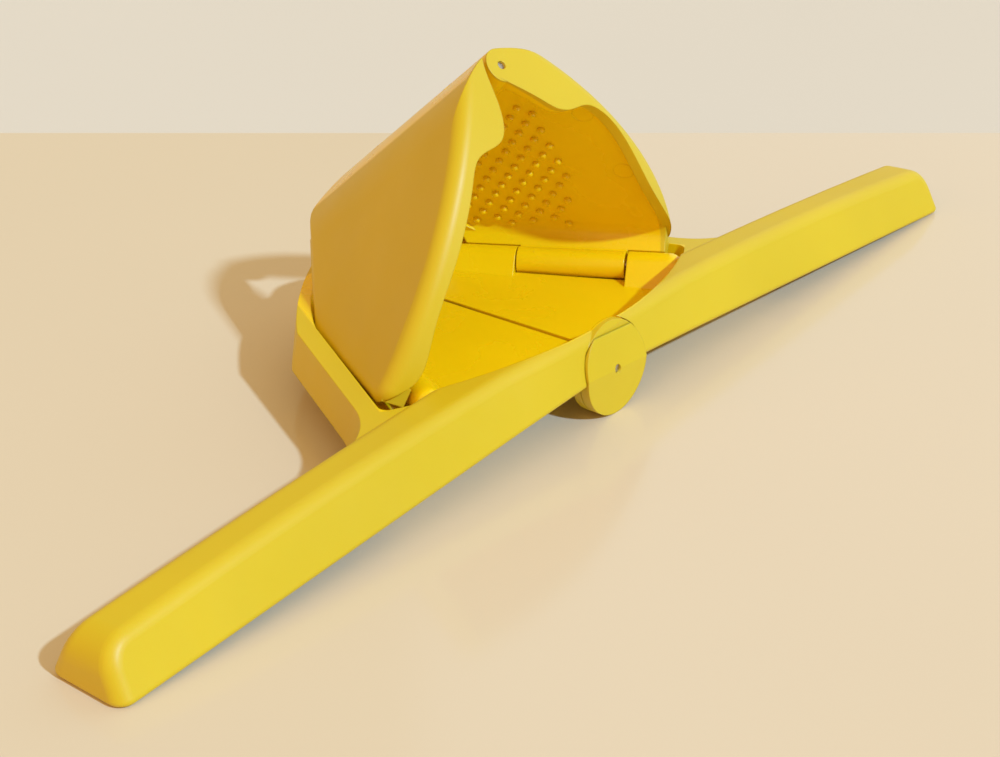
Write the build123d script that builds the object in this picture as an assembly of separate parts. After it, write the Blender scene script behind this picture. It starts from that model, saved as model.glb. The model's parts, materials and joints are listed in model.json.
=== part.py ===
from build123d import *
import os
from math import asin, cos, degrees, radians, sin, sqrt, tan

# Fold-flat citrus press, about lemon size, stored fully open on the table.
#
# Two long handles, each with half of a tray at its inner end, hinge on each other at the
# front and the back of the head. A press panel hinges on each tray, and the two panels
# hinge on each other along the ridge at the top. The axes of all four hinges meet in one
# point behind the head, the apex, so the handles fold down until their undersides meet
# while the panels lie down on the trays.
#
# World frame: +X along the right handle, +Y to the back, +Z up, table at Z = 0, origin
# below the middle of the open press. Millimetres.
#
# Handle frame: x = p outward from the main hinge axis, y to the back from the front face,
# z = q up from the handle's underside. Panel frame (left panel): x = a from the apex to the front along its
# hinge on the tray, y = c up the panel, z = n outward.

# ---- driving dimensions -------------------------------------------------------------
HANDLE_LENGTH = 181.0        # main hinge axis to the end of the grip
HEAD_DEPTH = 98.0            # front to back, along the main hinge
ORIGIN_Y = 50.1              # world origin, behind the front face
APEX_Y = 126.8               # where the hinge axes meet, behind the front face
LUG_R = 13.25                # main hinge lugs, which are also the feet at the head
LUG_FRONT_T = 2.9            # right handle's front lug
LUG_INNER_T = 2.6            # left handle's lugs, inside those of the right handle
LUG_BACK_T = 2.4             # right handle's back lug
LUG_GAP = 0.25               # axial running gap between neighbouring lugs
LUG_CLEAR = 0.3              # radial room around the other handle's lugs
BOSS_R = 4.6                 # boss behind the left handle's front lug
BOSS_LENGTH = 4.0
SEAM_GAP = 1.0               # between the two trays, along the main hinge axis

GRIP_WIDTH = 25.6            # grip at its underside
GRIP_FRONT_LEAN = 26.3       # lean of the grip's front face, degrees from upright
GRIP_BACK_LEAN = 25.5        # lean of its back face
GRIP_TOP_TILT = 3.6          # the top falls this much to the back, degrees
GRIP_H_HEAD = 13.0           # height of the bowed top at the main hinge
GRIP_H_MID = 15.8            # half way out
GRIP_H_TIP = 14.4            # and at the tip
GRIP_END_LEAN = 8.0          # lean of the grip's end face
GRIP_END_R = 9.0             # rounding from the top down to the end
GRIP_FRONT_R = 4.2           # rounding along the front ridge and its end corner
GRIP_BACK_R = 3.4            # the same along the back
GRIP_FOOT_R = 1.2            # rounding along the underside
CHEEK_LEAN = 15.5            # lean of the front face at the main hinge
CHEEK_REACH = 38.0           # the face turns to its full lean over this length

RIM_H = 11.2                 # top of the tray's rim
RIM_WIDTH = 5.5
RIM_DRAFT = 13.0             # lean of the rim's outer wall, degrees
RIM_OFFSET = 13.7            # panel hinge axis to the rim's inner edge
HEAD_FILLET_R = 22.0         # where the rim runs into the grip
HEAD_CORNER_R = 6.0          # back outer corner of the head
HEAD_SIDE_Y = 73.4           # where the rim's outer line reaches the back edge
RECESS_SIDE_Y = 69.7         # and its inner line the recess's back edge
HEAD_FLAT = 14.8             # the back edge is straight up to here, for the lugs
HEAD_BACK_BULGE = 2.5        # how far the rest of it bows out from a straight line
RECESS_FLAT = 17.0           # the same two sizes for the recess's back edge
RECESS_BACK_BULGE = 3.0
RECESS_R = 121.3             # front wall of the tray's recess, about the apex
RECESS_CORNER_R = 3.0
FLOOR_T = 3.5                # tray floor at the main hinge
FLOOR_RISE = 0.03            # it rises outward and falls to the back by this slope
FLOOR_LEVEL_Y = 17.0         # distance behind the front face where it is that thick

CORE_WALL = 2.6              # wall left around the grip's cored underside
CORE_RIB_T = 1.8
CORE_CELLS = 6
CORE_START = 88.0            # from the main hinge axis
CORE_END_WALL = 12.0         # solid end of the grip

PIN_D = 2.4                  # every hinge pin
PIN_RUN = 0.05               # radial running clearance in the piece that turns
PIN_HOLD = 0.01              # radial clearance in the piece that holds the pin
PIN_RECESS = 0.6             # pin ends lie this far below their faces

HINGE_AZIMUTH = 27.0         # panel hinge axis, from the main hinge, in the tray's plane
HINGE_RISE = 4.33            # and its rise towards the front, degrees
BARREL_R = 4.1               # panel hinge knuckles
BARREL_BACK = 73.3           # the panel's knuckle lies between these two distances
BARREL_FRONT = 105.5         # from the apex
BARREL_GAP = 0.35            # axial gap behind the panel's knuckle
BARREL_FRONT_GAP = 0.8       # and in front of it
BARREL_ROOM = 0.7            # radial room around the panel's knuckle
KNUCKLE_BACK = 50.0          # the tray's back knuckle starts here
KNUCKLE_FRONT = 118.5        # centre of its front knuckle's rounded end
KNUCKLE_RAMP = 50.0          # slope of the knuckles' inner sides, degrees
HINGE_PIN_BACK = 46.5        # panel hinge pin lies between these two distances
HINGE_PIN_FRONT = 112.3

RIDGE_AZIMUTH = 46.58        # ridge hinge axis, from the panel hinge, in the panel's plane
RIDGE_R = 5.0                # ridge hinge knuckles
RIDGE_GAP = 0.35             # axial gap between ridge knuckles
RIDGE_ROOM = 0.4             # radial room around the other panel's knuckles
RIDGE_BACK = 43.0            # ridge's back and front end, from the apex
RIDGE_FRONT = 115.7
RIDGE_KNUCKLES = 4           # the front one is the right panel's, then they alternate

PANEL_N = 13.0               # outer face above the plane of the panel's two hinge axes
PANEL_T = 3.0                # shell thickness
PANEL_FRONT_R = 118.3        # front face, about the apex; it leans back to the ridge
PANEL_FLAT_U = 22.0          # the outer face is flat up to here from the ridge axis
PANEL_BOTTOM = 6.0           # lowest edge, below the hinge axis
PANEL_BOTTOM_R = 4.0         # rounding along the bottom
PANEL_EDGE_R = 4.0           # rounding along the front and the back
PANEL_CORNER_R = 6.0         # front bottom corner
PANEL_BACK_R = 5.0           # its two back corners
PANEL_HEEL_A = 30.2          # upper back corner
PANEL_HEEL_C = 20.0
PANEL_TOE_A = 66.5           # where the slanting back edge reaches the bottom
PANEL_LIP_N = 8.0            # inner edge of the back and bottom lips
WALL_N = 4.7                 # bottom wall: lowest height above the hinge plane
WALL_FOOT = 1.2              # how far it reaches up the panel there
WALL_TOP = 3.8               # and where it meets the inner face
WALL_BACK = 4.0              # its outer side, below the hinge axis
WALL_R = 5.0                 # rounding into the inner face
WALL_REACH = 116.5           # its front end, inside the front wall
WEB_BOTTOM = 3.4             # web from the hinge knuckle out to the wall

STUD_PITCH = 4.8             # studs that keep the fruit from slipping
STUD_D = 2.1
STUD_H = 1.2
STUD_TURN = 59.3             # direction of the stud rows, degrees
STUD_A = 85.9                # one stud of the pattern
STUD_C = 40.7
STUD_SIDES = 8
STUD_REACH = 20              # rows tried each way
STUD_LOW = 4.95              # lowest stud above the panel hinge
STUD_RIDGE = 14.0            # nearest to the ridge
STUD_NEAR = 55.0             # nearest to the apex
STUD_FAR = 99.0              # and farthest from it
STUD_FRONT = 89.5            # nearest to the front wall, along the hinge

# Inner edge of each panel's front wall: angle up from the panel hinge, and height above
# the hinge plane. The lobes near the ridge hold the fruit back and pass when folded.
LEFT_LIP = [(-8, 12), (-1, 10), (1.5, 5.8), (8, 6), (16, 6.4), (28, 6.5), (31.5, 5.8), (33.4, 2.2)]
LEFT_LIP += [(35, -0.5), (38.5, 0), (42, 3.4), (50, 5)]
RIGHT_LIP = [(-8, 14), (4, 9.8), (10, 6.2), (16, 5), (28.5, 8.6), (32.2, 6), (34.4, 1)]
RIGHT_LIP += [(36.8, -2.4), (39.5, -3.2), (43, -3.9), (50, -4.6)]

OPEN_FOLD = 66.81            # panel to tray plane when open, degrees

# ---- frames --------------------------------------------------------------------------
STAND_TILT = degrees(asin(LUG_R / HANDLE_LENGTH))
FAR = 300.0                  # longer than the whole press
SKIN = 0.1                   # keeps one blended surface just inside another


def unit(azimuth, rise):
    """Direction from the apex in the handle frame; azimuth 0 is the main hinge axis."""
    across = cos(radians(rise))
    return Vector(
        sin(radians(azimuth)) * across,
        -cos(radians(azimuth)) * across,
        sin(radians(rise)),
    )


APEX = Vector(0, APEX_Y, 0)
HINGE_DIR = unit(HINGE_AZIMUTH, HINGE_RISE)
RIDGE_DIR = Vector(cos(radians(RIDGE_AZIMUTH)), sin(radians(RIDGE_AZIMUTH)))
RIDGE_OUT = Vector(-RIDGE_DIR.Y, RIDGE_DIR.X)


def mirrored(part):
    """The same piece on the other side."""
    return part.mirror(Plane.YZ)


def place_handle(part):
    """Handle frame to world frame, right-hand side."""
    return Pos(0, -ORIGIN_Y, LUG_R) * Rot(0, STAND_TILT, 0) * part


def panel_plane():
    """Panel frame seen from the left handle's frame, panel fully open."""
    axis = Vector(-HINGE_DIR.X, HINGE_DIR.Y, HINGE_DIR.Z)
    front = Vector(0, -1, 0)
    inward = (front - axis * front.dot(axis)).normalized()
    up = axis.cross(inward)
    climb = inward * cos(radians(OPEN_FOLD)) + up * sin(radians(OPEN_FOLD))
    return Plane(APEX, x_dir=axis, z_dir=axis.cross(climb))


def place_panel(part):
    """Panel frame to world frame, left-hand side."""
    stand = Pos(0, -ORIGIN_Y, LUG_R) * Rot(0, -STAND_TILT, 0)
    return stand * panel_plane().location * part


def rod(start, direction, length, radius):
    """Round bar from a point along a direction."""
    return extrude(Plane(start, z_dir=direction) * Circle(radius), length)


def y_rod(y_from, y_to, radius):
    """Round bar about the main hinge axis, in the handle frame."""
    return rod(Vector(0, y_from, 0), Vector(0, 1, 0), y_to - y_from, radius)


def hinge_rod(a_from, a_to, radius):
    """Round bar about the panel hinge axis, in the handle frame."""
    return rod(APEX + HINGE_DIR * a_from, HINGE_DIR, a_to - a_from, radius)


def ridge_rod(a_from, a_to, radius):
    """Round bar about the ridge axis, in the panel frame."""
    return rod(RIDGE_DIR * a_from, RIDGE_DIR, a_to - a_from, radius)


# ---- handles -------------------------------------------------------------------------
def grip_section(front_lean):
    """Cross section of the grip without its top."""
    lean_back = tan(radians(GRIP_BACK_LEAN))
    tall = GRIP_WIDTH
    points = [(0, 0), (GRIP_WIDTH, 0), (GRIP_WIDTH - lean_back * tall, tall)]
    points.append((tan(radians(front_lean)) * tall, tall))
    return Polygon(*points, align=None)


def grip_side():
    """Side view of the grip: bowed top, rounded down to its end."""
    tip = (HANDLE_LENGTH - tan(radians(GRIP_END_LEAN)) * GRIP_H_TIP, GRIP_H_TIP)
    top = ThreePointArc((0, GRIP_H_HEAD), (HANDLE_LENGTH / 2, GRIP_H_MID), tip)
    rest = Polyline(tip, (HANDLE_LENGTH, 0), (0, 0), (0, GRIP_H_HEAD))
    side = make_face(top.edges() + rest.edges())
    corner = side.vertices().sort_by_distance(Vector(*tip))[0]
    return fillet(corner, GRIP_END_R)


def grip_bar():
    """Grip and front wall of the head: leaning sides, a bowed top, rounded edges."""
    places = (SEAM_GAP / 2, CHEEK_REACH, HANDLE_LENGTH + SEAM_GAP)
    leans = (CHEEK_LEAN, GRIP_FRONT_LEAN, GRIP_FRONT_LEAN)
    sections = [Plane.YZ.offset(p) * grip_section(lean) for p, lean in zip(places, leans)]
    side_block = extrude(Plane.XZ * grip_side(), -2 * GRIP_WIDTH)
    bar = loft(sections, ruled=True) & (Rot(-GRIP_TOP_TILT, 0, 0) * side_block)
    bar = fillet(long_edges(bar, 0, GRIP_WIDTH / 2), GRIP_FRONT_R)
    bar = fillet(long_edges(bar, GRIP_WIDTH * 0.7, GRIP_WIDTH), GRIP_BACK_R)
    low = [e for e in bar.edges() if e.bounding_box().max.Z < GRIP_FOOT_R]
    return fillet([e for e in low if e.center().X > SEAM_GAP], GRIP_FOOT_R)


def long_edges(bar, y_from, y_to):
    """The grip's ridges and upright end corners between two depths."""
    edges = [e for e in bar.edges() if e.center().X > SEAM_GAP and y_from < e.center().Y < y_to]
    edges = [e for e in edges if e.bounding_box().size.Y < GRIP_WIDTH / 3]
    return [e for e in edges if e.bounding_box().max.Z > GRIP_FOOT_R]


def rim_line(offset):
    """Point and direction of a line parallel to the panel hinge axis, seen from above."""
    along = Vector(HINGE_DIR.X, HINGE_DIR.Y, 0).normalized()
    outward = Vector(-along.Y, along.X, 0)
    return APEX + outward * offset, along, outward


def rim_point(offset, y):
    """Where such a line passes a given depth."""
    start, along, _ = rim_line(offset)
    return start + along * ((y - start.Y) / along.Y)


def head_outline(offset, front, grip_back, depth, side_y):
    """Tray outline seen from above, with the sweep where the rim meets the grip."""
    inner = SEAM_GAP / 2
    elbow = rim_point(offset, grip_back)
    side = rim_point(offset, side_y)
    far = elbow.X + 2 * HEAD_FILLET_R
    flat_end = Vector(HEAD_FLAT, depth)
    middle = (flat_end + side) * 0.5 + Vector(0, HEAD_BACK_BULGE)
    start = Polyline(flat_end, (inner, depth), (inner, front), (far, front), (far, grip_back))
    wall = Polyline((far, grip_back), elbow, side)
    back = ThreePointArc(side, middle, flat_end)
    outline = make_face(start.edges() + wall.edges() + back.edges())
    sweep = outline.vertices().sort_by_distance(elbow)[0]
    outline = fillet(sweep, HEAD_FILLET_R)
    for corner in (side, flat_end):
        vertex = outline.vertices().sort_by_distance(corner)[0]
        outline = fillet(vertex, HEAD_CORNER_R)
    return outline


def head_block():
    """Block that the tray is cut into; its wall leans and runs into the grip's back."""
    draft = RIM_H * tan(radians(RIM_DRAFT))
    lean = RIM_H * tan(radians(GRIP_BACK_LEAN))
    outer = RIM_OFFSET + RIM_WIDTH + draft
    front = GRIP_WIDTH / 2
    edge = GRIP_WIDTH - SKIN
    foot = head_outline(outer, front, edge, HEAD_DEPTH, HEAD_SIDE_Y)
    top_side = HEAD_SIDE_Y - draft / 2
    top = head_outline(outer - draft, front, edge - lean, HEAD_DEPTH - SKIN, top_side)
    return loft([foot, Pos(0, 0, RIM_H) * top], ruled=True)


def recess_cut():
    """Everything taken out above the tray's floor, open at the seam."""
    start, along, _ = rim_line(RIM_OFFSET)
    end = start + along * sqrt(RECESS_R**2 - RIM_OFFSET**2)
    side = rim_point(RIM_OFFSET, RECESS_SIDE_Y)
    back = inner_lug_spans(0)[1][0]
    flat_end = Vector(RECESS_FLAT, back)
    middle = (side + flat_end) * 0.5 + Vector(0, RECESS_BACK_BULGE)
    seam_front = APEX + Vector(-LUG_R, -sqrt(RECESS_R**2 - LUG_R**2))
    bow = APEX + Vector(end.X / 2, -sqrt(RECESS_R**2 - (end.X / 2) ** 2))
    front = ThreePointArc(seam_front, bow, end)
    wall = Line(end, side)
    arc = ThreePointArc(side, middle, flat_end)
    seam = Polyline(flat_end, (-LUG_R, back), seam_front)
    outline = make_face(front.edges() + wall.edges() + arc.edges() + seam.edges())
    for corner, radius in ((end, RECESS_CORNER_R), (side, HEAD_CORNER_R), (flat_end, HEAD_CORNER_R)):
        vertex = outline.vertices().sort_by_distance(corner)[0]
        outline = fillet(vertex, radius)
    prism = extrude(outline, 2 * RIM_H)
    slope = degrees(FLOOR_RISE)
    under = Box(FAR, FAR, FAR, align=(Align.CENTER, Align.CENTER, Align.MAX))
    return prism - Pos(0, FLOOR_LEVEL_Y, FLOOR_T) * Rot(-slope, -slope, 0) * under


def core_cells():
    """Cored underside of the grip: cells between cross ribs."""
    lean_front = tan(radians(GRIP_FRONT_LEAN))
    lean_back = tan(radians(GRIP_BACK_LEAN))
    tall = GRIP_H_TIP - 1.5 * CORE_WALL
    section = Polygon(
        (CORE_WALL, 0),
        (GRIP_WIDTH - CORE_WALL, 0),
        (GRIP_WIDTH - CORE_WALL - lean_back * tall, tall),
        (CORE_WALL + lean_front * tall, tall),
        align=None,
    )
    pitch = (HANDLE_LENGTH - CORE_END_WALL - CORE_START + CORE_RIB_T) / CORE_CELLS
    cell = extrude(Plane.YZ * section, pitch - CORE_RIB_T)
    return [Pos(CORE_START + pitch * i, 0, 0) * cell for i in range(CORE_CELLS)]


def knuckle_ramp(a_from, a_to):
    """A tray knuckle's inner side, sloping off its round down into the floor."""
    inward = Vector(-HINGE_DIR.Y, HINGE_DIR.X, 0).normalized() * -1
    slope = radians(KNUCKLE_RAMP)
    touch = Vector(sin(slope), cos(slope)) * BARREL_R
    foot = touch + Vector(cos(slope), -sin(slope)) * (2 * RIM_H)
    section = Polygon((0, 0), (foot.X, foot.Y), (touch.X, touch.Y), align=None)
    below = Polygon((0, 0), (0, foot.Y), (foot.X, foot.Y), align=None)
    plane = Plane(APEX + HINGE_DIR * a_from, x_dir=inward, z_dir=-HINGE_DIR)
    return extrude(plane * (section + below), a_from - a_to)


def tray_knuckles():
    """The tray's two knuckles of the panel hinge, blended down to its floor."""
    back_end = BARREL_BACK - BARREL_GAP
    front_start = BARREL_FRONT + BARREL_FRONT_GAP
    back = hinge_rod(KNUCKLE_BACK, back_end, BARREL_R) + knuckle_ramp(KNUCKLE_BACK, back_end)
    front = hinge_rod(front_start, KNUCKLE_FRONT, BARREL_R) + knuckle_ramp(front_start, FAR)
    nose = APEX + HINGE_DIR * KNUCKLE_FRONT
    tail = APEX + HINGE_DIR * KNUCKLE_BACK
    ends = Pos(nose) * Sphere(BARREL_R) + Pos(tail) * Sphere(BARREL_R)
    inside = extrude(Pos(APEX) * Circle(RECESS_R + SKIN), FAR)
    return (back + front + ends) & inside


def lugs(spans, radius):
    """Main hinge lugs between pairs of depths."""
    parts = [y_rod(y_from, y_to, radius) for y_from, y_to in spans]
    return Part() + parts


def cheek_trim():
    """Everything in front of the grip's front face at the main hinge, above the underside."""
    lean = tan(radians(CHEEK_LEAN))
    wedge = Polygon((0, 0), (lean * FAR, FAR), (-FAR, FAR), (-FAR, 0), align=None)
    return extrude(Plane.YZ.offset(-FAR / 2) * wedge, FAR)


def outer_lug_spans(grow):
    """Depths of the right handle's lugs, or of the room for them."""
    front = (-FAR * bool(grow), LUG_FRONT_T + grow)
    back = (HEAD_DEPTH - LUG_BACK_T - grow, HEAD_DEPTH + FAR * bool(grow))
    return [front, back]


def inner_lug_spans(grow):
    """Depths of the left handle's lugs, or of the room for them."""
    front_face = LUG_FRONT_T + LUG_GAP
    back_face = HEAD_DEPTH - LUG_BACK_T - LUG_GAP
    front = (front_face - grow, front_face + LUG_INNER_T + grow)
    back = (back_face - LUG_INNER_T - grow, back_face + grow)
    return [front, back]


def boss(grow):
    """Boss behind the left handle's front lug, or the room for it."""
    front = inner_lug_spans(0)[0][1]
    return y_rod(front - LUG_INNER_T, front + BOSS_LENGTH + grow, BOSS_R + grow)


def main_pin_spans():
    """Depths between which the front and the back main hinge pin reach."""
    front_end = inner_lug_spans(0)[0][1] + BOSS_LENGTH - PIN_RECESS
    back_end = inner_lug_spans(0)[1][0] + PIN_RECESS
    return [(PIN_RECESS, front_end), (back_end, HEAD_DEPTH - PIN_RECESS)]


def main_bores(clearance):
    """Bores for the two main hinge pins, open at the outer faces."""
    front, back = main_pin_spans()
    radius = PIN_D / 2 + clearance
    return y_rod(-1, front[1], radius) + y_rod(back[0], HEAD_DEPTH + 1, radius)


def handle_body():
    """What both handles share, before the main hinge is worked in."""
    body = grip_bar() + head_block()
    body = body - recess_cut() - core_cells()
    front_end = BARREL_FRONT + BARREL_FRONT_GAP
    room = hinge_rod(BARREL_BACK - BARREL_GAP, front_end, BARREL_R + BARREL_ROOM)
    body = body + tray_knuckles() - room
    return body - hinge_rod(HINGE_PIN_BACK - PIN_RECESS, HINGE_PIN_FRONT, PIN_D / 2 + PIN_HOLD)


def right_handle(body):
    """Handle with the outer lugs."""
    handle = body - lugs(inner_lug_spans(LUG_GAP), LUG_R + LUG_CLEAR) - boss(LUG_CLEAR)
    handle = handle + (lugs(outer_lug_spans(0), LUG_R) - cheek_trim())
    return handle - main_bores(PIN_RUN)


def left_handle(body):
    """Handle with the inner lugs, built on the right-hand side."""
    handle = body - lugs(outer_lug_spans(LUG_GAP), LUG_R + LUG_CLEAR)
    handle = handle + (lugs(inner_lug_spans(0), LUG_R) - cheek_trim()) + boss(0)
    return handle - main_bores(PIN_HOLD)


# ---- press panels --------------------------------------------------------------------
def ridge_section(inset):
    """Section square to the ridge: flat outer face, swept down to the ridge knuckles."""
    drop = PANEL_N - RIDGE_R
    sweep_r = (PANEL_FLAT_U**2 + PANEL_N**2 - RIDGE_R**2) / (2 * drop)
    centre = Vector(-PANEL_FLAT_U, PANEL_N - sweep_r)
    to_ridge = (Vector(0, 0) - centre).normalized()
    half_way = (Vector(0, 1) + to_ridge).normalized()
    radius = sweep_r - inset
    flat_end = centre + Vector(0, radius)
    end = centre + to_ridge * radius
    sweep = ThreePointArc(flat_end, centre + half_way * radius, end)
    rest = Polyline(end, (0, 0), (0, -FAR), (-FAR, -FAR), (-FAR, PANEL_N - inset), flat_end)
    return make_face(sweep.edges() + rest.edges())


def ridge_plane(distance):
    """Plane square to the ridge; its x points away from the panel, its y outward."""
    return Plane(RIDGE_DIR * distance, x_dir=RIDGE_OUT, z_dir=RIDGE_DIR)


def panel_outline(front_cut, inset):
    """Outline seen square to the panel's face, out past the ridge."""
    front_r = PANEL_FRONT_R - front_cut
    low = Vector(sqrt(front_r**2 - PANEL_BOTTOM**2), -PANEL_BOTTOM)
    middle = Vector(1, 0).rotate(Axis.Z, RIDGE_AZIMUTH / 2) * front_r
    high = RIDGE_DIR * (RIDGE_FRONT - front_cut)
    outside = RIDGE_OUT * PANEL_FLAT_U
    ridge_end = RIDGE_DIR * RIDGE_BACK
    heel = Vector(PANEL_HEEL_A, PANEL_HEEL_C)
    toe = Vector(PANEL_TOE_A, -PANEL_BOTTOM)
    front = ThreePointArc(low, middle, high)
    rest = Polyline(high, high + outside, ridge_end + outside, ridge_end, heel, toe, low)
    outline = make_face(front.edges() + rest.edges())
    for corner, radius in ((low, PANEL_CORNER_R), (heel, PANEL_BACK_R), (toe, PANEL_BACK_R)):
        vertex = outline.vertices().sort_by_distance(corner)[0]
        outline = fillet(vertex, radius)
    return offset(outline, -inset) if inset else outline


def panel_block(inset):
    """Solid under the panel's outer or inner face."""
    top = PANEL_N - inset
    prism = extrude(Pos(0, 0, top - FAR / 2) * panel_outline(0, inset), FAR / 2)
    rim = [e for e in prism.edges() if e.bounding_box().min.Z > top - SKIN]
    prism = fillet(rim, PANEL_EDGE_R - inset)
    under_ridge = extrude(ridge_plane(0) * ridge_section(inset), FAR)
    low = -PANEL_BOTTOM + inset
    side = Polygon((low, top - FAR), (FAR, top - FAR), (FAR, top), (low, top), align=None)
    corner = side.vertices().sort_by_distance(Vector(low, top))[0]
    above_bottom = extrude(Plane.YZ * fillet(corner, PANEL_BOTTOM_R - inset), FAR)
    return prism & under_ridge & above_bottom


def lip_cut(points):
    """Trims the front wall to its inner edge, given as azimuth and height pairs."""
    aim = RIDGE_AZIMUTH / 2
    start = Vector(1, 0).rotate(Axis.Z, aim) * PANEL_FRONT_R * 0.75
    sideways = Vector(0, 1).rotate(Axis.Z, aim)
    plane = Plane(start, x_dir=sideways, z_dir=start)
    edge = [(PANEL_FRONT_R * sin(radians(azimuth - aim)), n) for azimuth, n in points]
    curve = Spline(*edge)
    below = Polyline(edge[-1], (edge[-1][0], -FAR), (edge[0][0], -FAR), edge[0])
    face = plane * make_face(curve.edges() + below.edges())
    return extrude(face, PANEL_FRONT_R, dir=plane.z_dir)


def rear_cut():
    """Trims the back and bottom lips, and clears the space under the ridge."""
    zone = extrude(Pos(0, 0, -FAR / 2) * panel_outline(PANEL_T, 0), FAR)
    lip = Box(FAR, FAR, FAR, align=(Align.MAX, Align.MAX, Align.MIN))
    away = Pos(-PANEL_FLAT_U / 2, PANEL_LIP_N, 0) * lip
    near = Pos(0, RIDGE_R / 3, 0) * lip
    return zone & (ridge_plane(0) * (away + near))


def knuckle_spans(first, grow):
    """Ridge knuckles of one panel, as distances from the apex; 0 is the front one."""
    pitch = (RIDGE_FRONT - RIDGE_BACK) / RIDGE_KNUCKLES
    spans = []
    for index in range(first, RIDGE_KNUCKLES, 2):
        front = RIDGE_FRONT - pitch * index
        low = front - pitch + RIDGE_GAP / 2 - grow
        high = front - RIDGE_GAP / 2 + grow
        spans.append((low, high if index else high + RIDGE_GAP / 2 + 4 * grow))
    return spans


def ridge_knuckles(first):
    """Knuckles of one panel on the ridge axis."""
    return Part() + [ridge_rod(low, high, RIDGE_R) for low, high in knuckle_spans(first, 0)]


def ridge_room(first):
    """Room for the other panel's knuckles, squared off at the top of the ridge."""
    parts = []
    for low, high in knuckle_spans(first, RIDGE_GAP):
        parts.append(ridge_rod(low, high, RIDGE_R + RIDGE_ROOM))
        block = Box(FAR, FAR, high - low, align=(Align.MIN, Align.MIN, Align.MIN))
        parts.append(ridge_plane(low) * Pos(-RIDGE_ROOM, 0, 0) * block)
    return Part() + parts


def hinge_barrel():
    """Knuckle of the tray hinge and the web that carries the shell."""
    length = BARREL_FRONT - BARREL_BACK
    barrel = rod(Vector(BARREL_BACK, 0, 0), Vector(1, 0, 0), length, BARREL_R)
    corner = (Align.MIN, Align.MIN, Align.MIN)
    web = Box(length, WALL_FOOT + WEB_BOTTOM, PANEL_N - PANEL_T / 2, align=corner)
    return barrel + Pos(BARREL_BACK, -WEB_BOTTOM, 0) * web


def bottom_wall():
    """Thick wall along the panel's bottom, swept into its inner face."""
    inner = PANEL_N - PANEL_T
    middle = PANEL_N - PANEL_T / 2
    sweep = WALL_TOP + 2 * WALL_R
    points = [(-WALL_BACK, middle), (-WALL_BACK, WALL_N), (WALL_FOOT, WALL_N), (WALL_TOP, inner)]
    section = Polygon(*points, (sweep, inner), (sweep, middle), align=None)
    corner = section.vertices().sort_by_distance(Vector(WALL_TOP, inner))[0]
    wall = extrude(Plane.YZ * fillet(corner, WALL_R), WALL_REACH)
    return wall & extrude(panel_outline(0, SKIN), FAR)


def studs():
    """Rows of low studs on the inner face, in the part that presses the fruit."""
    root = PANEL_N - PANEL_T
    foot = Pos(0, 0, root + SKIN) * RegularPolygon(STUD_D / 2, STUD_SIDES)
    tip = Pos(0, 0, root - STUD_H) * RegularPolygon(STUD_D / 4, STUD_SIDES)
    stud = loft([foot, tip], ruled=True)
    row = Vector(STUD_PITCH, 0).rotate(Axis.Z, STUD_TURN)
    column = row.rotate(Axis.Z, -90)
    copies = []
    for i in range(-STUD_REACH, STUD_REACH):
        for j in range(-STUD_REACH, STUD_REACH):
            place = Vector(STUD_A, STUD_C) + row * i + column * j
            if stud_field(place):
                copies.append(Pos(place) * stud)
    return copies


def stud_field(place):
    """Whether a stud stands here: within the part of the face that meets the fruit."""
    meets_fruit = place.Y > STUD_LOW and place.X < STUD_FRONT
    return meets_fruit and place.dot(RIDGE_OUT) < -STUD_RIDGE and STUD_NEAR < place.length < STUD_FAR


def panel(first, lip_points):
    """One press panel; first is its front ridge knuckle, counted from the front."""
    shell = panel_block(0) - panel_block(PANEL_T)
    shell = shell - lip_cut(lip_points) - rear_cut()
    shell = shell + ridge_knuckles(first) + hinge_barrel() + bottom_wall() + studs()
    shell = shell - ridge_room(1 - first)
    shell = shell - rod(Vector(0, 0, 0), Vector(1, 0, 0), FAR, PIN_D / 2 + PIN_RUN)
    return shell - ridge_rod(RIDGE_BACK + PIN_RECESS, FAR, PIN_D / 2 + PIN_HOLD)


# ---- hinge pins ----------------------------------------------------------------------
def panel_hinge_pin():
    """Pin of one panel hinge, in the handle frame on the right-hand side."""
    return hinge_rod(HINGE_PIN_BACK, HINGE_PIN_FRONT, PIN_D / 2)


def ridge_pin(first):
    """Ridge pin where it runs in one panel's knuckles."""
    parts = []
    for low, high in knuckle_spans(first, 0):
        low = max(low, RIDGE_BACK + PIN_RECESS)
        high = min(high, RIDGE_FRONT - PIN_RECESS)
        parts.append(ridge_rod(low, high, PIN_D / 2))
    return Part() + parts


# ---- the press -----------------------------------------------------------------------
def build():
    """Every piece in the world frame, by name."""
    body = handle_body()
    front_pin, back_pin = [y_rod(low, high, PIN_D / 2) for low, high in main_pin_spans()]
    left_panel = panel(1, LEFT_LIP)
    right_panel = panel(0, RIGHT_LIP)
    return {
        "left_handle": mirrored(place_handle(left_handle(body))),
        "right_handle": place_handle(right_handle(body)),
        "left_press_panel": place_panel(left_panel),
        "right_press_panel": mirrored(place_panel(right_panel)),
        "front_main_hinge_pin": place_handle(front_pin),
        "back_main_hinge_pin": place_handle(back_pin),
        "left_panel_hinge_pin": mirrored(place_handle(panel_hinge_pin())),
        "right_panel_hinge_pin": place_handle(panel_hinge_pin()),
        "ridge_pin_in_left_panel": place_panel(ridge_pin(1)),
        "ridge_pin_in_right_panel": mirrored(place_panel(ridge_pin(0))),
    }


if __name__ == "__main__":
    os.makedirs("parts", exist_ok=True)
    for name, piece in build().items():
        export_step(piece, f"parts/{name}.step")
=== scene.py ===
"""Looks of the fold-flat citrus press: moulded finishes, studs, ejector marks and the stage."""

import json
import math

import bpy
from mathutils import Matrix, Vector

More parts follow.
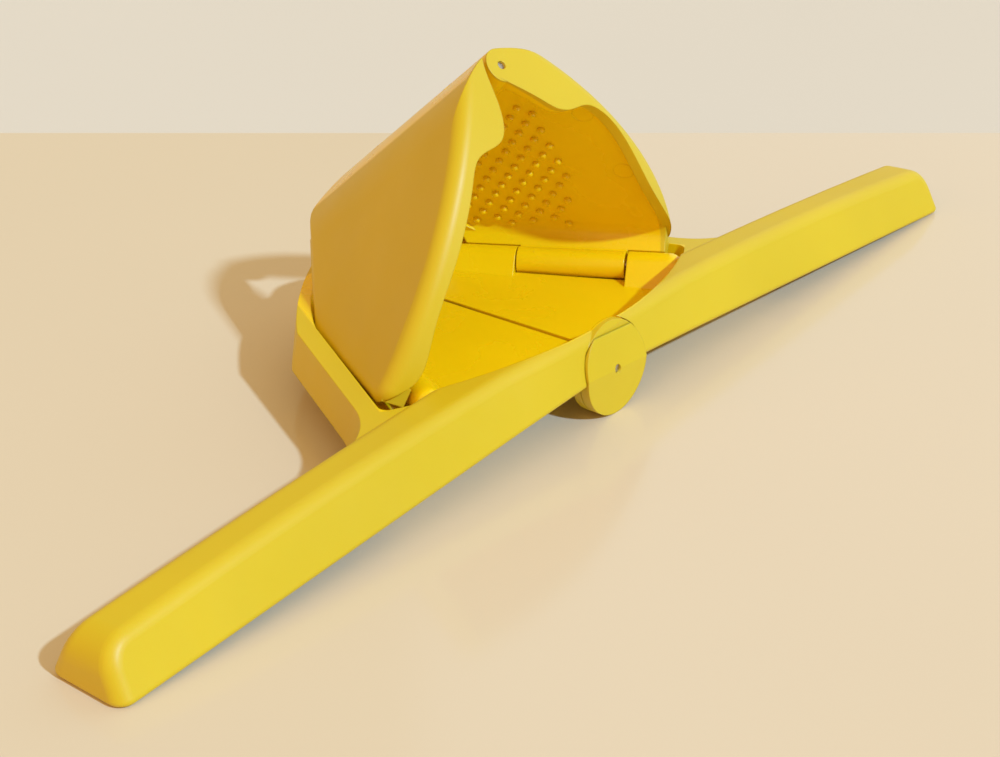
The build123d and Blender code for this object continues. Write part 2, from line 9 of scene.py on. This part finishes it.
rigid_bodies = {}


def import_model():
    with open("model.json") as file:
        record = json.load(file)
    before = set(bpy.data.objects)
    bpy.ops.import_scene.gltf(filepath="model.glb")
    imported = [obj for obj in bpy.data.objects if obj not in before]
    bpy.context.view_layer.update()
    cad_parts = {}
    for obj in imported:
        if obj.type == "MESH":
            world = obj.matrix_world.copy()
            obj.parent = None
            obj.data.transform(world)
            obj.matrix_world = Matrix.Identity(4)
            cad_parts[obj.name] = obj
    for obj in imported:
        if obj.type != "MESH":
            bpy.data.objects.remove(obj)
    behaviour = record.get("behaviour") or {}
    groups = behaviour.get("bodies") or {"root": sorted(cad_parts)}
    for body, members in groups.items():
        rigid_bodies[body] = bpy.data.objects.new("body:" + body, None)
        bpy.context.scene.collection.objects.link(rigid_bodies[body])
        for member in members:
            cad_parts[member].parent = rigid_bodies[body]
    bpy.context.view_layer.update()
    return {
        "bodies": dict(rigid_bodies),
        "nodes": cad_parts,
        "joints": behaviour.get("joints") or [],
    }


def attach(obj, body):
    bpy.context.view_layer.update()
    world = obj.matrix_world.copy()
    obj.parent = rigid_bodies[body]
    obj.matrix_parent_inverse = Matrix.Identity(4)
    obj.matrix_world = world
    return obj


bl_info = {
    "name": "Fold-flat Citrus Press",
    "version": (1, 0, 0),
    "blender": (4, 5, 0),
    "location": "3D View > Sidebar > Citrus Press",
    "description": "Finishes, small moulded details and stage of a hinged citrus press",
    "category": "Object",
}

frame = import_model()

MM = 0.001

# Sizes that the finishes share with the press's source, in metres
LUG_R = 13.25 * MM
HANDLE_LENGTH = 181.0 * MM
STAND_TILT = math.asin(LUG_R / HANDLE_LENGTH)
ORIGIN_Y = 50.1 * MM
APEX = Vector((0, 126.8 * MM - ORIGIN_Y, LUG_R))
HINGE_AXIS = Vector(
    next(j["axis"] for j in frame["joints"] if j["name"] == "right_panel_fold")
)
OPEN_FOLD = math.radians(66.81)
RIDGE_AZIMUTH = math.radians(46.58)
PANEL_N = 13.0 * MM
PANEL_T = 3.0 * MM
PANEL_FRONT_R = 118.3 * MM
KNUCKLE_TOP = 15.0 * MM
RIM_OFFSET = 13.7 * MM
RECESS_R = 121.3 * MM
RECESS_BACK = 93.0 * MM - ORIGIN_Y
TRAY_FLOOR = 2.0 * MM
EDGE_SOFTNESS = 0.45 * MM
GRAIN_DEPTH = 0.02 * MM
GRAIN_STRENGTH = 0.35
NYLON_IOR = 1.5
NYLON_GLOW = 0.12
NYLON_GLOW_DEPTH = 1.6 * MM
TABLE_IOR = 1.45


# ---- settings ------------------------------------------------------------------------
class CitrusFinishSettings(bpy.types.PropertyGroup):
    """Colours and surface of the moulded nylon and the pins."""

    outer_colour: bpy.props.FloatVectorProperty(
        name="Outer colour",
        description="Satin yellow of the outer faces",
        subtype="COLOR",
        size=4,
        min=0,
        max=1,
        default=(0.70, 0.50, 0.010, 1),
    )
    # The smooth inner faces are deeper yellow, and this colour is also made brighter than the
    # outer one as painted light for the light that falls into the chamber.
    inner_colour_and_painted_light: bpy.props.FloatVectorProperty(
        name="Inner colour",
        description="Deeper yellow of the smooth faces that meet the fruit",
        subtype="COLOR",
        size=4,
        min=0,
        max=1,
        default=(0.95, 0.655, 0.002, 1),
    )
    outer_roughness: bpy.props.FloatProperty(
        name="Outer roughness",
        description="Roughness of the fine-grained outside",
        subtype="FACTOR",
        min=0,
        max=1,
        default=0.44,
    )
    inner_roughness: bpy.props.FloatProperty(
        name="Inner roughness",
        description="Roughness of the smooth inside",
        subtype="FACTOR",
        min=0,
        max=1,
        default=0.26,
    )
    grain_size: bpy.props.FloatProperty(
        name="Grain size",
        description="Width of one grain of the outer texture",
        subtype="DISTANCE",
        min=0,
        default=0.35 * MM,
    )
    steel_colour: bpy.props.FloatVectorProperty(
        name="Pin colour",
        description="Drawn stainless steel of the hinge pins",
        subtype="COLOR",
        size=4,
        min=0,
        max=1,
        default=(0.55, 0.54, 0.51, 1),
    )


class CitrusDetailSettings(bpy.types.PropertyGroup):
    """Sizes of the studs and the ejector marks."""

    stud_pitch: bpy.props.FloatProperty(
        name="Stud pitch",
        description="Distance between neighbouring studs",
        subtype="DISTANCE",
        default=4.8 * MM,
    )
    stud_diameter: bpy.props.FloatProperty(
        name="Stud diameter",
        description="Diameter of a stud at its root",
        subtype="DISTANCE",
        default=2.2 * MM,
    )
    stud_height: bpy.props.FloatProperty(
        name="Stud height",
        description="How far a stud stands out of the panel",
        subtype="DISTANCE",
        default=1.24 * MM,
    )
    mark_diameter: bpy.props.FloatProperty(
        name="Ejector mark diameter",
        description="Diameter of the round marks that the mould's ejectors leave",
        subtype="DISTANCE",
        default=6.0 * MM,
    )
    mark_line: bpy.props.FloatProperty(
        name="Ejector mark line",
        description="Width of the raised line round an ejector mark",
        subtype="DISTANCE",
        default=0.3 * MM,
    )


class CitrusStageSettings(bpy.types.PropertyGroup):
    """Table, lights and camera."""

    table_colour: bpy.props.FloatVectorProperty(
        name="Table colour",
        description="Warm pale table top",
        subtype="COLOR",
        size=4,
        min=0,
        max=1,
        default=(0.752, 0.631, 0.445, 1),
    )
    back_colour: bpy.props.FloatVectorProperty(
        name="Background colour",
        description="Paler ground beyond the table's far edge",
        subtype="COLOR",
        size=4,
        min=0,
        max=1,
        default=(0.716, 0.665, 0.562, 1),
    )
    table_edge: bpy.props.FloatProperty(
        name="Table edge",
        description="Distance from the camera's foot to the table's far edge",
        subtype="DISTANCE",
        default=0.742,
    )
    key_strength: bpy.props.FloatProperty(
        name="Key light",
        description="Strength of the directed light",
        min=0,
        default=3.14,
    )
    fill_strength: bpy.props.FloatProperty(
        name="Fill light",
        description="Strength of the even light from all round",
        min=0,
        default=0.589,
    )
    soft_strength: bpy.props.FloatProperty(
        name="Soft lights",
        description="Common factor on the wide lights from both sides",
        min=0,
        default=1.0,
    )


# ---- places on the press ---------------------------------------------------------------
def panel_frame(side):
    """Panel frame at rest: x along the tray hinge, y up the panel, z outward; side -1 is left."""
    axis = Vector((side * abs(HINGE_AXIS.x), HINGE_AXIS.y, HINGE_AXIS.z))
    front = Vector((0, -1, 0))
    inward = (front - axis * front.dot(axis)).normalized()
    up = axis.cross(inward) * -side
    climb = inward * math.cos(OPEN_FOLD) + up * math.sin(OPEN_FOLD)
    outward = axis.cross(climb) * -side
    turn = Matrix((axis, climb, outward)).transposed().to_4x4()
    return Matrix.Translation(APEX) @ turn


def handle_frame(side):
    """Handle frame at rest: x outward along the handle, y to the back, z up."""
    tilt = Matrix.Rotation(side * STAND_TILT, 4, "Y")
    flip = Matrix.Diagonal((side, 1, 1, 1))
    return Matrix.Translation((0, -ORIGIN_Y, LUG_R)) @ tilt @ flip


# ---- material helpers --------------------------------------------------------------------
def new_material(name):
    """Empty node material with its Principled shader."""
    material = bpy.data.materials.new(name)
    material.use_nodes = True
    tree = material.node_tree
    return material, tree, tree.nodes["Principled BSDF"]


def add_node(tree, kind, place, **settings):
    """New node with its plain settings."""
    made = tree.nodes.new(kind)
    made.location = place
    for name, value in settings.items():
        setattr(made, name, value)
    return made


def feed(tree, target, source):
    """Sets an input socket from another socket or from a plain value."""
    if isinstance(source, bpy.types.NodeSocket):
        tree.links.new(source, target)
    else:
        target.default_value = source


def math_node(tree, operation, place, *values):
    """One arithmetic step."""
    made = add_node(tree, "ShaderNodeMath", place, operation=operation)
    for socket, value in zip(made.inputs, values):
        feed(tree, socket, value)
    return made.outputs[0]


def dot_node(tree, vector, direction, place):
    """Distance along a direction."""
    made = add_node(tree, "ShaderNodeVectorMath", place, operation="DOT_PRODUCT")
    feed(tree, made.inputs[0], vector)
    made.inputs[1].default_value = direction
    return made.outputs["Value"]


def noise_node(tree, vector, place, scale, detail=2.0, distortion=0.0):
    """Noise pattern on the given coordinates."""
    made = add_node(tree, "ShaderNodeTexNoise", place)
    feed(tree, made.inputs["Vector"], vector)
    made.inputs["Scale"].default_value = scale
    made.inputs["Detail"].default_value = detail
    made.inputs["Distortion"].default_value = distortion
    return made.outputs["Fac"]


def range_node(tree, value, place, low, high, to_low, to_high):
    """Maps a value from one range to another, held at its ends."""
    made = add_node(tree, "ShaderNodeMapRange", place, clamp=True)
    for socket, number in zip(made.inputs, (value, low, high, to_low, to_high)):
        feed(tree, socket, number)
    return made.outputs[0]


def mix_colours(tree, place, factor, first, second, blend="MIX"):
    """Blend of two colours."""
    made = add_node(tree, "ShaderNodeMix", place, data_type="RGBA", blend_type=blend)
    feed(tree, made.inputs["Factor"], factor)
    feed(tree, made.inputs["A"], first)
    feed(tree, made.inputs["B"], second)
    return made.outputs["Result"]


def object_point(tree):
    """Point on the piece in its own coordinates."""
    return add_node(tree, "ShaderNodeTexCoord", (-2000, 0)).outputs["Object"]


def step_below(tree, value, limit, place, softness=0.3 * MM):
    """1 where the value is below the limit, 0 above it."""
    return range_node(tree, value, place, limit - softness, limit + softness, 1.0, 0.0)


def all_of(tree, places, *masks):
    """1 where every mask is 1."""
    result = masks[0]
    for index, mask in enumerate(masks[1:]):
        x, y = places
        result = math_node(tree, "MULTIPLY", (x + 180 * index, y), result, mask)
    return result


def tray_mask(tree, point, side):
    """1 on the tray's smooth inside: its floor, the inner sides of its walls and its knuckles.
    There the inner colour paints light.
    """
    to_handle = handle_frame(side).inverted()
    height = math_node(
        tree,
        "ADD",
        (-1500, 500),
        dot_node(tree, point, to_handle[2].xyz, (-1700, 500)),
        to_handle[2].w,
    )
    hinge = Vector((side * abs(HINGE_AXIS.x), HINGE_AXIS.y, 0)).normalized()
    outward = Vector((-side * hinge.y, abs(hinge.x), 0))
    if outward.x * side < 0:
        outward.negate()
    offset = math_node(
        tree,
        "SUBTRACT",
        (-1500, 700),
        dot_node(tree, point, outward, (-1700, 700)),
        APEX.dot(outward),
    )
    from_apex = add_node(tree, "ShaderNodeVectorMath", (-1700, 900), operation="DISTANCE")
    flat = add_node(tree, "ShaderNodeVectorMath", (-1850, 900), operation="MULTIPLY")
    feed(tree, flat.inputs[0], point)
    flat.inputs[1].default_value = (1, 1, 0)
    feed(tree, from_apex.inputs[0], flat.outputs[0])
    from_apex.inputs[1].default_value = (APEX.x, APEX.y, 0)
    depth = dot_node(tree, point, (0, 1, 0), (-1700, 1100))
    return all_of(
        tree,
        (-1100, 700),
        step_below(tree, height, KNUCKLE_TOP, (-1300, 500)),
        range_node(tree, height, (-1300, 300), TRAY_FLOOR - 0.2 * MM, TRAY_FLOOR, 0.0, 1.0),
        step_below(tree, offset, RIM_OFFSET + 0.4 * MM, (-1300, 700)),
        step_below(tree, from_apex.outputs["Value"], RECESS_R + 0.4 * MM, (-1300, 900)),
        step_below(tree, depth, RECESS_BACK, (-1300, 1100)),
    )


def panel_mask(tree, point, side):
    """1 on the panel's smooth inside, under its shell, behind its front wall. There the inner
    colour paints light.
    """
    to_panel = panel_frame(side).inverted()
    outward = math_node(
        tree,
        "ADD",
        (-1500, 500),
        dot_node(tree, point, to_panel[2].xyz, (-1700, 500)),
        to_panel[2].w,
    )
    from_apex = add_node(tree, "ShaderNodeVectorMath", (-1700, 800), operation="DISTANCE")
    feed(tree, from_apex.inputs[0], point)
    from_apex.inputs[1].default_value = APEX
    return all_of(
        tree,
        (-1100, 600),
        step_below(tree, outward, PANEL_N - PANEL_T + 0.3 * MM, (-1300, 500)),
        step_below(tree, from_apex.outputs["Value"], PANEL_FRONT_R - PANEL_T, (-1300, 800)),
    )


def moulded_nylon(name, finish, smooth_and_painted_light_mask=None):
    """Moulded nylon: fine grain outside; smooth, deeper in colour and brighter as painted light
    where the mask is 1.
    """
    material, tree, shader = new_material(name)
    point = object_point(tree)
    mask = smooth_and_painted_light_mask(tree, point) if smooth_and_painted_light_mask else 0.0
    drift = noise_node(tree, point, (-1300, -100), 14.0, 3.0, 0.6)
    shade = range_node(tree, drift, (-1100, -100), 0.3, 0.7, 0.955, 1.03)
    # Where the mask is 1 the brighter inner colour is painted light.
    base = mix_colours(
        tree, (-700, 200), mask, tuple(finish.outer_colour), tuple(finish.inner_colour_and_painted_light)
    )
    toned = add_node(tree, "ShaderNodeVectorMath", (-500, 200), operation="SCALE")
    feed(tree, toned.inputs[0], base)
    feed(tree, toned.inputs["Scale"], shade)
    feed(tree, shader.inputs["Base Color"], toned.outputs[0])

    handled = noise_node(tree, point, (-1300, -350), 45.0, 4.0, 0.3)
    outer = range_node(
        tree,
        handled,
        (-1100, -350),
        0.3,
        0.7,
        finish.outer_roughness - 0.04,
        finish.outer_roughness + 0.05,
    )
    inner = range_node(
        tree,
        handled,
        (-1100, -550),
        0.3,
        0.7,
        finish.inner_roughness - 0.03,
        finish.inner_roughness + 0.06,
    )
    rough = add_node(tree, "ShaderNodeMix", (-700, -350), data_type="FLOAT")
    feed(tree, rough.inputs["Factor"], mask)
    feed(tree, rough.inputs["A"], outer)
    feed(tree, rough.inputs["B"], inner)
    feed(tree, shader.inputs["Roughness"], rough.outputs["Result"])

    grain = noise_node(tree, point, (-1300, -800), 1 / finish.grain_size, 2.0)
    flow = noise_node(tree, point, (-1300, -1050), 70.0, 2.0, 1.5)
    depth = add_node(tree, "ShaderNodeMix", (-1000, -900), data_type="FLOAT")
    feed(tree, depth.inputs["Factor"], mask)
    feed(tree, depth.inputs["A"], grain)
    feed(tree, depth.inputs["B"], flow)
    soft_edges = add_node(tree, "ShaderNodeBevel", (-700, -700), samples=6)
    soft_edges.inputs["Radius"].default_value = EDGE_SOFTNESS
    bump = add_node(tree, "ShaderNodeBump", (-400, -800))
    bump.inputs["Strength"].default_value = GRAIN_STRENGTH
    bump.inputs["Distance"].default_value = GRAIN_DEPTH
    feed(tree, bump.inputs["Height"], depth.outputs["Result"])
    feed(tree, bump.inputs["Normal"], soft_edges.outputs[0])
    feed(tree, shader.inputs["Normal"], bump.outputs[0])

    shader.inputs["IOR"].default_value = NYLON_IOR
    shader.inputs["Subsurface Weight"].default_value = NYLON_GLOW
    shader.inputs["Subsurface Radius"].default_value = (1.0, 0.55, 0.08)
    shader.inputs["Subsurface Scale"].default_value = NYLON_GLOW_DEPTH
    return material


def drawn_steel(name, finish):
    """Stainless wire with faint drawing lines."""
    material, tree, shader = new_material(name)
    point = object_point(tree)
    lines = noise_node(tree, point, (-900, -200), 2500.0, 2.0)
    rough = range_node(tree, lines, (-700, -200), 0.3, 0.7, 0.22, 0.42)
    cloud = noise_node(tree, point, (-900, 100), 400.0, 2.0)
    shade = range_node(tree, cloud, (-700, 100), 0.3, 0.7, 0.8, 1.05)
    toned = add_node(tree, "ShaderNodeVectorMath", (-400, 100), operation="SCALE")
    toned.inputs[0].default_value = tuple(finish.steel_colour)[:3]
    feed(tree, toned.inputs["Scale"], shade)
    feed(tree, shader.inputs["Base Color"], toned.outputs[0])
    feed(tree, shader.inputs["Roughness"], rough)
    shader.inputs["Metallic"].default_value = 1.0
    return material


def dress(node_name, material):
    """Gives a CAD node its finish."""
    node = frame["nodes"][node_name]
    for slot in node.material_slots:
        slot.material = material


# ---- mesh helpers ----------------------------------------------------------------------
def select_only(obj):
    """Makes one object the only selected and active one."""
    bpy.ops.object.select_all(action="DESELECT")
    obj.select_set(True)
    bpy.context.view_layer.objects.active = obj


def place_in_mesh(obj, matrix):
    """Puts a piece in place and keeps that place in its mesh."""
    obj.matrix_world = matrix @ obj.matrix_world
    select_only(obj)
    bpy.ops.object.transform_apply(location=True, rotation=True, scale=True)


def join_pieces(pieces, name):
    """Joins pieces into one object."""
    bpy.ops.object.select_all(action="DESELECT")
    for piece in pieces:
        piece.select_set(True)
    bpy.context.view_layer.objects.active = pieces[0]
    if len(pieces) > 1:
        bpy.ops.object.join()
    joined = bpy.context.view_layer.objects.active
    joined.name = name
    joined.data.name = name
    return joined


def copy_piece(piece, offset):
    """Copy of a piece with its own mesh, moved."""
    copied = piece.copy()
    copied.data = piece.data.copy()
    bpy.context.scene.collection.objects.link(copied)
    copied.location = Vector(piece.location) + Vector(offset)
    return copied


def turn_faces_out(obj):
    """Recalculates a closed mesh's normals after it was mirrored."""
    select_only(obj)
    bpy.ops.object.mode_set(mode="EDIT")
    bpy.ops.mesh.select_all(action="SELECT")
    bpy.ops.mesh.normals_make_consistent(inside=False)
    bpy.ops.object.mode_set(mode="OBJECT")


# ---- studs -------------------------------------------------------------------------------
STUD_TURN = math.radians(59.3)
STUD_START = Vector((85.9 * MM, 40.7 * MM))
STUD_LOW = 4.95 * MM
STUD_RIDGE = 14.0 * MM
STUD_NEAR = 55.0 * MM
STUD_FAR = 99.0 * MM
STUD_FRONT = 89.5 * MM
STUD_REACH = 20
STUD_STEPS = 14
STUD_SUNK = 0.3 * MM


def stud_places(pitch):
    """Places of the studs on a panel's inner face, in the panel frame."""
    row = Vector((math.cos(STUD_TURN), math.sin(STUD_TURN))) * pitch
    column = Vector((row.y, -row.x))
    away = Vector((-math.sin(RIDGE_AZIMUTH), math.cos(RIDGE_AZIMUTH)))
    places = []
    for i in range(-STUD_REACH, STUD_REACH):
        for j in range(-STUD_REACH, STUD_REACH):
            place = STUD_START + row * i + column * j
            inside = STUD_NEAR < place.length < STUD_FAR and place.x < STUD_FRONT
            if inside and place.y > STUD_LOW and place.dot(away) < -STUD_RIDGE:
                places.append(place)
    return places


def model_stud(detail):
    """One stud: a short peg with a domed tip, pointing into the chamber."""
    bpy.ops.object.select_all(action="DESELECT")
    bpy.ops.mesh.primitive_cylinder_add(
        vertices=STUD_STEPS,
        radius=detail.stud_diameter / 2,
        depth=detail.stud_height + STUD_SUNK,
        location=(0, 0, PANEL_N - PANEL_T - (detail.stud_height - STUD_SUNK) / 2),
    )
    stud = bpy.context.active_object
    bpy.ops.object.transform_apply(location=True, rotation=False, scale=False)
    bpy.ops.object.mode_set(mode="EDIT")
    bpy.ops.mesh.select_all(action="DESELECT")
    bpy.ops.object.mode_set(mode="OBJECT")
    tip = min(v.co.z for v in stud.data.vertices)
    for edge in stud.data.edges:
        ends = [stud.data.vertices[i].co.z for i in edge.vertices]
        edge.select = max(ends) < tip + STUD_SUNK / 3
    bpy.ops.object.mode_set(mode="EDIT")
    bpy.ops.mesh.select_mode(type="EDGE")
    bpy.ops.mesh.bevel(offset=detail.stud_diameter * 0.36, segments=4, profile=0.5)
    bpy.ops.object.mode_set(mode="OBJECT")
    bpy.ops.object.shade_smooth()
    return stud


class CITRUS_OT_press_studs(bpy.types.Operator):
    """Studs on the inner faces of both press panels, which keep the fruit from slipping"""

    bl_idname = "citrus.press_studs"
    bl_label = "Press studs"

    def execute(self, context):
        detail = context.scene.citrus_detail
        finish = context.scene.citrus_finish
        # The studs take the inner colour all over, with its painted light.
        material = moulded_nylon("stud_nylon", finish, lambda tree, point: 1.0)
        for side, word in ((-1, "left"), (1, "right")):
            stud = model_stud(detail)
            copies = [copy_piece(stud, (*p, 0)) for p in stud_places(detail.stud_pitch)]
            bpy.data.objects.remove(stud)
            studs = join_pieces(copies, f"{word}_panel_studs")
            bpy.ops.object.transform_apply(location=True, rotation=True, scale=True)
            place_in_mesh(studs, panel_frame(side))
            if side > 0:
                turn_faces_out(studs)
            studs.data.materials.append(material)
            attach(studs, f"{word}_panel")
        return {"FINISHED"}


# ---- ejector marks -----------------------------------------------------------------------
MARK_PLACES = ((106.2, 30.8), (96.8, 54.4))
MARK_RISE = 0.07 * MM
MARK_STEPS = 48
MARK_LINE_STEPS = 10


class CITRUS_OT_ejector_marks(bpy.types.Operator):
    """Faint round ejector marks on the inner faces of both press panels"""

    bl_idname = "citrus.ejector_marks"
    bl_label = "Ejector marks"

    def execute(self, context):
        detail = context.scene.citrus_detail
        finish = context.scene.citrus_finish
        # The marks take the inner colour all over, with its painted light.
        material = moulded_nylon("mark_nylon", finish, lambda tree, point: 1.0)
        line_r = detail.mark_line / 2
        for side, word in ((-1, "left"), (1, "right")):
            rings = []
            for a, c in MARK_PLACES:
                bpy.ops.mesh.primitive_torus_add(
                    major_radius=detail.mark_diameter / 2,
                    minor_radius=line_r,
                    major_segments=MARK_STEPS,
                    minor_segments=MARK_LINE_STEPS,
                    location=(a * MM, c * MM, PANEL_N - PANEL_T + line_r - MARK_RISE),
                )
                rings.append(context.active_object)
                bpy.ops.object.shade_smooth()
            marks = join_pieces(rings, f"{word}_panel_ejector_marks")
            bpy.ops.object.transform_apply(location=True, rotation=True, scale=True)
            place_in_mesh(marks, panel_frame(side))
            if side > 0:
                turn_faces_out(marks)
            marks.data.materials.append(material)
            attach(marks, f"{word}_panel")
        return {"FINISHED"}


# ---- finishes ----------------------------------------------------------------------------
class CITRUS_OT_handle_finish(bpy.types.Operator):
    """Moulded finish of the two handles and their trays"""

    bl_idname = "citrus.handle_finish"
    bl_label = "Handle finish"

    def execute(self, context):
        finish = context.scene.citrus_finish
        for side, word in ((-1, "left"), (1, "right")):
            nylon = moulded_nylon(
                f"{word}_handle_nylon",
                finish,
                lambda tree, point, side=side: tray_mask(tree, point, side),
            )
            dress(f"{word}_handle", nylon)
        return {"FINISHED"}


class CITRUS_OT_panel_finish(bpy.types.Operator):
    """Moulded finish of the two press panels"""

    bl_idname = "citrus.panel_finish"
    bl_label = "Panel finish"

    def execute(self, context):
        finish = context.scene.citrus_finish
        for side, word in ((-1, "left"), (1, "right")):
            nylon = moulded_nylon(
                f"{word}_panel_nylon",
                finish,
                lambda tree, point, side=side: panel_mask(tree, point, side),
            )
            dress(f"{word}_press_panel", nylon)
        return {"FINISHED"}


class CITRUS_OT_pin_finish(bpy.types.Operator):
    """Drawn steel of every hinge pin"""

    bl_idname = "citrus.pin_finish"
    bl_label = "Pin finish"

    def execute(self, context):
        steel = drawn_steel("pin_steel", context.scene.citrus_finish)
        for name in frame["nodes"]:
            if "pin" in name:
                dress(name, steel)
        return {"FINISHED"}


# ---- stage -------------------------------------------------------------------------------
CAMERA_PLACE = Vector((-0.4312, -0.31064 - ORIGIN_Y, 0.28607))
CAMERA_TURN = math.radians(50.762)
CAMERA_DROP = math.radians(27.465)
CAMERA_LENS = 79.03
SENSOR_WIDTH = 36.0
KEY_FROM = Vector((-0.02, -1.06, 0.91))
KEY_SIZE = math.radians(2.4)
KEY_COLOUR = (0.5, 0.72, 1.0)
FILL_COLOUR = (1.0, 0.783, 0.411, 1)
SOFT_SIZE = math.radians(70)
# Wide lights: name, where it comes from, strength, colour
SOFT_LIGHTS = (
    ("left_bounce", Vector((-1, 0, 0.6)), 0.70, (1.0, 0.42, 0.14)),
    ("right_window", Vector((1, 0, 0.6)), 0.60, (0.55, 0.72, 1.0)),
)
FLOOR_SIZE = 12.0


def table_material(stage):
    """Smooth warm table, and paler matt ground beyond its far edge."""
    material, tree, shader = new_material("table_top")
    point = object_point(tree)
    ahead = Vector((math.sin(CAMERA_TURN), math.cos(CAMERA_TURN), 0))
    along = dot_node(tree, point, ahead, (-1200, 300))
    edge = CAMERA_PLACE.dot(ahead) + stage.table_edge
    beyond = range_node(tree, along, (-1000, 300), edge - 0.4 * MM, edge + 0.4 * MM, 0.0, 1.0)
    cloud = noise_node(tree, point, (-1200, 0), 3.0, 3.0)
    shade = range_node(tree, cloud, (-1000, 0), 0.3, 0.7, 0.985, 1.01)
    base = mix_colours(
        tree, (-700, 200), beyond, tuple(stage.table_colour), tuple(stage.back_colour)
    )
    toned = add_node(tree, "ShaderNodeVectorMath", (-450, 200), operation="SCALE")
    feed(tree, toned.inputs[0], base)
    feed(tree, toned.inputs["Scale"], shade)
    feed(tree, shader.inputs["Base Color"], toned.outputs[0])
    rough = range_node(tree, beyond, (-700, -100), 0.0, 1.0, 0.12, 0.9)
    feed(tree, shader.inputs["Roughness"], rough)
    shader.inputs["IOR"].default_value = TABLE_IOR
    return material


def add_far_light(name, place, strength, colour, width):
    """Light from one direction, as wide as given."""
    bpy.ops.object.light_add(type="SUN", location=place)
    light = bpy.context.active_object
    light.name = name
    light.rotation_euler = place.to_track_quat("Z", "Y").to_euler()
    light.data.energy = strength
    light.data.angle = width
    light.data.color = colour


class CITRUS_OT_stage(bpy.types.Operator):
    """Table, lights and camera"""

    bl_idname = "citrus.stage"
    bl_label = "Stage"

    def execute(self, context):
        stage = context.scene.citrus_stage
        bpy.ops.object.select_all(action="DESELECT")
        bpy.ops.mesh.primitive_plane_add(size=FLOOR_SIZE)
        floor = context.active_object
        floor.name = "table"
        floor.data.materials.append(table_material(stage))

        add_far_light("key_light", KEY_FROM, stage.key_strength, KEY_COLOUR, KEY_SIZE)
        for name, place, strength, colour in SOFT_LIGHTS:
            add_far_light(name, place, strength * stage.soft_strength, colour, SOFT_SIZE)

        world = context.scene.world or bpy.data.worlds.new("room")
        context.scene.world = world
        world.use_nodes = True
        background = world.node_tree.nodes["Background"]
        background.inputs["Color"].default_value = FILL_COLOUR
        background.inputs["Strength"].default_value = stage.fill_strength

        bpy.ops.object.camera_add(location=CAMERA_PLACE)
        camera = context.active_object
        camera.name = "view_camera"
        camera.rotation_euler = (math.pi / 2 - CAMERA_DROP, 0, -CAMERA_TURN)
        camera.data.lens = CAMERA_LENS
        camera.data.sensor_width = SENSOR_WIDTH
        camera.data.clip_start = 0.01
        context.scene.camera = camera
        context.scene.view_settings.view_transform = "Standard"
        return {"FINISHED"}


# ---- add-on ------------------------------------------------------------------------------
PIECE_OPERATORS = (
    CITRUS_OT_handle_finish,
    CITRUS_OT_panel_finish,
    CITRUS_OT_pin_finish,
    CITRUS_OT_press_studs,
    CITRUS_OT_ejector_marks,
    CITRUS_OT_stage,
)


class CITRUS_PT_sidebar(bpy.types.Panel):
    """Lists the steps that dress the press"""

    bl_idname = "CITRUS_PT_sidebar"
    bl_label = "Citrus Press"
    bl_space_type = "VIEW_3D"
    bl_region_type = "UI"
    bl_category = "Citrus Press"

    def draw(self, context):
        for step in PIECE_OPERATORS:
            self.layout.operator(step.bl_idname)
        for group in ("citrus_finish", "citrus_detail", "citrus_stage"):
            settings = getattr(context.scene, group)
            column = self.layout.column()
            for name in settings.__annotations__:
                column.prop(settings, name)


SETTING_GROUPS = {
    "citrus_finish": CitrusFinishSettings,
    "citrus_detail": CitrusDetailSettings,
    "citrus_stage": CitrusStageSettings,
}


def register():
    """Makes the settings, the steps and the sidebar known to Blender."""
    for name, group in SETTING_GROUPS.items():
        bpy.utils.register_class(group)
        setattr(bpy.types.Scene, name, bpy.props.PointerProperty(type=group))
    for step in (*PIECE_OPERATORS, CITRUS_PT_sidebar):
        bpy.utils.register_class(step)


def unregister():
    """Takes them out again."""
    for step in reversed((*PIECE_OPERATORS, CITRUS_PT_sidebar)):
        bpy.utils.unregister_class(step)
    for name, group in SETTING_GROUPS.items():
        delattr(bpy.types.Scene, name)
        bpy.utils.unregister_class(group)


def clear_start_objects():
    """Removes what a new Blender file starts with."""
    cad = set(frame["nodes"].values()) | set(frame["bodies"].values())
    for obj in list(bpy.data.objects):
        if obj not in cad:
            bpy.data.objects.remove(obj)


def main():
    """Dresses the press."""
    register()
    clear_start_objects()
    bpy.ops.citrus.handle_finish()
    bpy.ops.citrus.panel_finish()
    bpy.ops.citrus.pin_finish()
    bpy.ops.citrus.press_studs()
    bpy.ops.citrus.ejector_marks()
    bpy.ops.citrus.stage()


if __name__ == "__main__":
    main()
